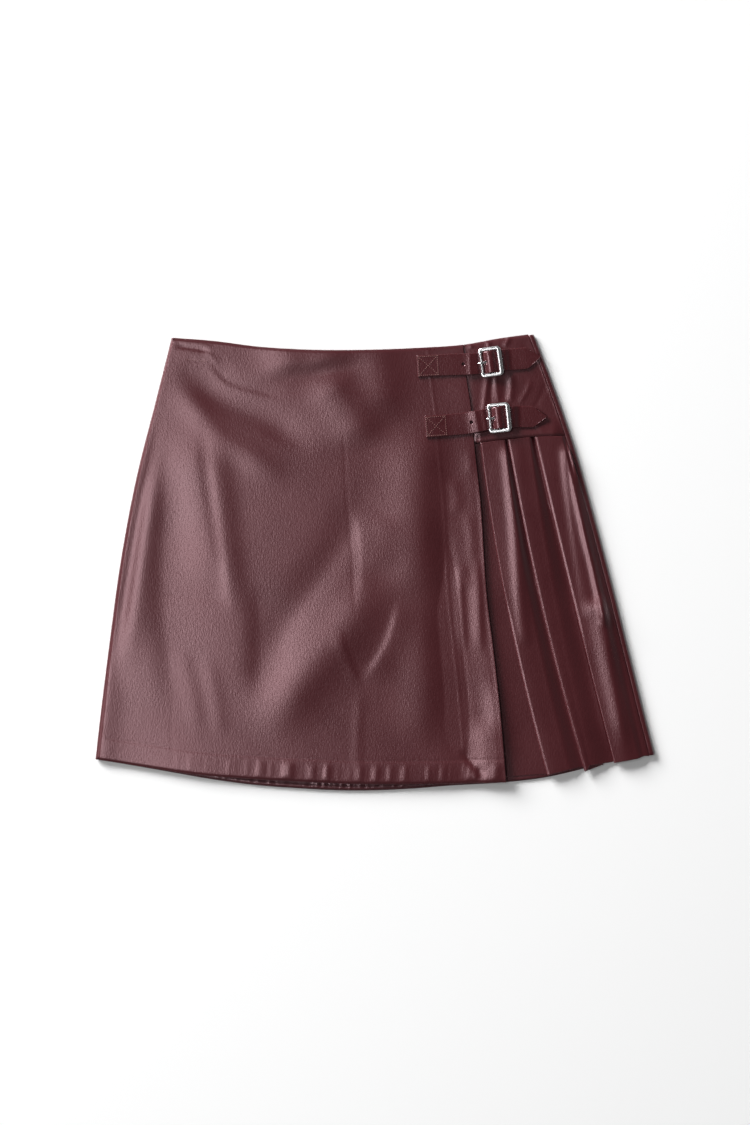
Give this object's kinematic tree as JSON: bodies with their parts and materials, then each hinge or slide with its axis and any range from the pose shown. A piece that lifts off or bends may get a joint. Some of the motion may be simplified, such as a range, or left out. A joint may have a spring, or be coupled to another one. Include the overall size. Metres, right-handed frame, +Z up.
{
  "type": "wrap-front leather mini skirt",
  "caption": "Flat-laid wrap-front mini skirt in coated leather, with a hip yoke, knife pleats at one side and buckled straps over the wrap edge.",
  "frame": {"origin": "centre of the skirt's outline, on the surface it lies on", "axes": "+X across the skirt from the plain side to the buckled side, +Y from the hem to the waist, +Z up out of the front"},
  "size_m": [0.5414, 0.4419, 0.011],
  "materials": {
    "leather": "satin",
    "strap_leather": "satin",
    "thread": "satin",
    "metal": "polished"
  },
  "bodies": {
    "root": {"back_panel": "leather", "hip_yoke": "leather", "pleated_panel": "leather", "front_wrap_panel": "leather", "strap_upper": "strap_leather", "strap_lower": "strap_leather", "buckle_tab_upper": "strap_leather", "buckle_tab_lower": "strap_leather", "buckle_frame_upper": "metal", "buckle_frame_lower": "metal", "buckle_prong_upper": "metal", "buckle_prong_lower": "metal"}
  },
  "joints": []
}
